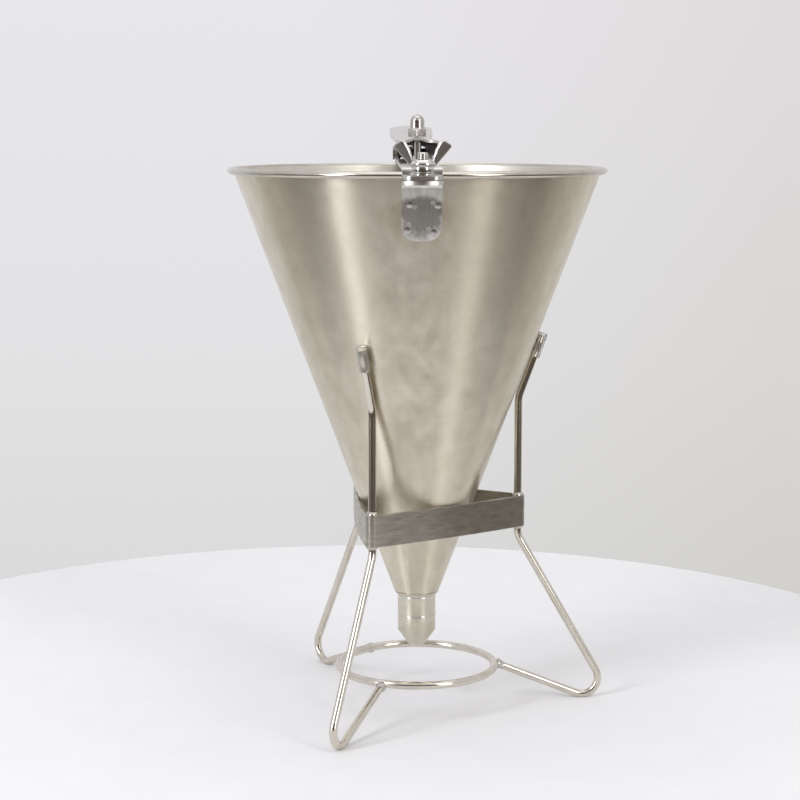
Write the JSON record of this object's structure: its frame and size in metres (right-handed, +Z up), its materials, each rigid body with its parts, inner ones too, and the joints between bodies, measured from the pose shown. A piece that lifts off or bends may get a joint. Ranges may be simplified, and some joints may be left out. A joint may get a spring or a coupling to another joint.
{
  "type": "batter dispenser",
  "caption": "Conical steel batter dispenser whose thumb lever lifts a valve rod, standing in a wire tripod with a triangular band and a base ring.",
  "frame": {"origin": "on the table, below the middle of the whole object's box", "axes": "+Z up along the funnel's axis; -Y towards the clamped front of the bridge with the wing nut, +Y towards the handle; +X to the right as seen from the wing nut"},
  "size_m": [0.192, 0.27, 0.3021],
  "materials": {
    "funnel_steel": "satin spun sheet",
    "outlet_steel": "turned, satin",
    "band_steel": "dull brushed strip",
    "bracket_steel": "pressed sheet, satin",
    "strip_steel": "polished strip",
    "lever_steel": "polished strip",
    "wing_nut_steel": "cast and plated",
    "hardware": "bright",
    "wire": "bright nickel wire",
    "sleeve": "translucent soft plastic"
  },
  "bodies": {
    "stand": {"stand_band": "band_steel", "leg_wire_front": "wire", "leg_wire_right": "wire", "leg_wire_rear": "wire", "base_ring": "wire", "tip_sleeve_front": "sleeve", "tip_sleeve_right": "sleeve", "tip_sleeve_rear": "sleeve"},
    "funnel": {"funnel_cone": "funnel_steel", "outlet_collar": "outlet_steel", "front_bracket": "bracket_steel", "clamp_stud": "hardware", "bridge_strip": "strip_steel", "handle_strap": "strip_steel", "rear_clevis": "bracket_steel", "pivot_pin": "hardware", "return_spring": "hardware", "spring_post": "hardware"},
    "tip": {"nozzle_tip": "outlet_steel"},
    "clamp_washer": {"clamp_washer": "hardware"},
    "wing_nut": {"wing_nut": "wing_nut_steel"},
    "lever": {"lever": "lever_steel"},
    "rod": {"valve_rod": "hardware", "cap_nut": "hardware", "valve_plug": "outlet_steel"}
  },
  "joints": [
    {"name": "funnel_lift", "type": "slide", "parent": "stand", "child": "funnel", "axis": [0, 0, 1], "range_m": [0, 0.18]},
    {"name": "lever_press", "type": "hinge", "parent": "funnel", "child": "lever", "pos_m": [-0.00103, 0.07745, 0.2814], "axis": [-1, 0, 0], "range_deg": [0, 5], "stiffness_Nm_per_rad": 0.4, "springref_deg": -8.59, "deforming": ["return_spring"]},
    {"name": "rod_lift", "type": "slide", "parent": "funnel", "child": "rod", "axis": [0, 0, 1], "range_m": [0, 0.0097]},
    {"name": "clamp_rise", "type": "slide", "parent": "funnel", "child": "clamp_washer", "axis": [0, 0, 1], "range_m": [0, 0.0026]},
    {"name": "clamp_turn", "type": "hinge", "parent": "clamp_washer", "child": "wing_nut", "pos_m": [-0.00103, -0.12855, 0.27585], "axis": [0, 0, 1], "range_deg": [0, 1080]},
    {"name": "tip_unscrew", "type": "slide", "parent": "funnel", "child": "tip", "axis": [0, 0, -1], "range_m": [0, 0.008]}
  ],
  "couplings": [
    {"joint": "rod_lift", "follows": "lever_press", "m_per_rad": 0.1095},
    {"joint": "clamp_rise", "follows": "clamp_turn", "m_per_rad": 0.00012732}
  ]
}
